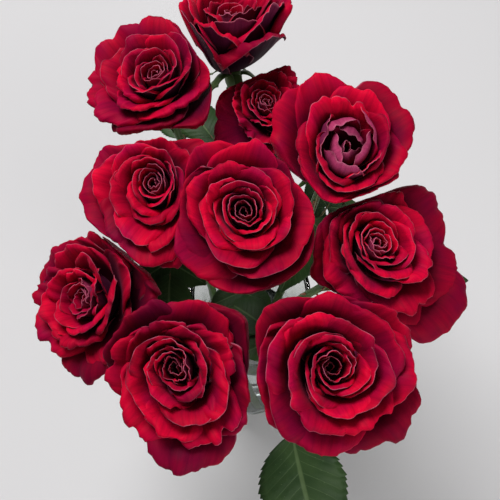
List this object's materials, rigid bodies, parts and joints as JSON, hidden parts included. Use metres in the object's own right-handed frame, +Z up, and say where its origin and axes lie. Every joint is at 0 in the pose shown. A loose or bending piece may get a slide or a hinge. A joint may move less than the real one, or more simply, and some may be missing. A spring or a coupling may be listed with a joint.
{
  "type": "roses in a vase",
  "caption": "Free-standing bouquet of open red roses on leafy green stems, loosely domed, standing in water in a clear waisted glass vase with a flared mouth.",
  "frame": {"origin": "middle of the vase's underside, on the surface that it stands on", "axes": "+Z up along the vase's axis, -Y towards the bouquet's front, +X to its right seen from the front"},
  "size_m": [0.3002, 0.3843, 0.4097],
  "materials": {
    "glass": "clear blown glass, polished",
    "water": "clear water",
    "stem": "smooth green bark, reddish thorns",
    "calyx": "waxy green hip and sepals",
    "outer_petals": "velvety deep crimson, duskier outside",
    "inner_petals": "velvety bright red",
    "leaf": "waxy dark green, paler veins"
  },
  "bodies": {
    "root": {"vase": "glass", "water": "water", "stem_01": "stem", "stem_02": "stem", "stem_03": "stem", "stem_04": "stem", "stem_05": "stem", "stem_06": "stem", "stem_07": "stem", "stem_08": "stem", "stem_09": "stem", "stem_10": "stem", "calyx_01": "calyx", "calyx_02": "calyx", "calyx_03": "calyx", "calyx_04": "calyx", "calyx_05": "calyx", "calyx_06": "calyx", "calyx_07": "calyx", "calyx_08": "calyx", "calyx_09": "calyx", "calyx_10": "calyx", "outer_petals_01": "outer_petals", "outer_petals_02": "outer_petals", "outer_petals_03": "outer_petals", "outer_petals_04": "outer_petals", "outer_petals_05": "outer_petals", "outer_petals_06": "outer_petals", "outer_petals_07": "outer_petals", "outer_petals_08": "outer_petals", "outer_petals_09": "outer_petals", "outer_petals_10": "outer_petals", "inner_petals_01": "inner_petals", "inner_petals_02": "inner_petals", "inner_petals_03": "inner_petals", "inner_petals_04": "inner_petals", "inner_petals_05": "inner_petals", "inner_petals_06": "inner_petals", "inner_petals_07": "inner_petals", "inner_petals_08": "inner_petals", "inner_petals_09": "inner_petals", "inner_petals_10": "inner_petals", "leaf_01": "leaf", "leaf_02": "leaf", "leaf_03": "leaf", "leaf_04": "leaf", "leaf_05": "leaf", "leaf_06": "leaf", "leaf_07": "leaf", "leaf_08": "leaf", "leaf_09": "leaf", "leaf_10": "leaf", "leaf_11": "leaf", "leaf_12": "leaf", "leaf_13": "leaf", "leaf_14": "leaf", "leaf_15": "leaf", "leaf_16": "leaf"}
  },
  "joints": []
}
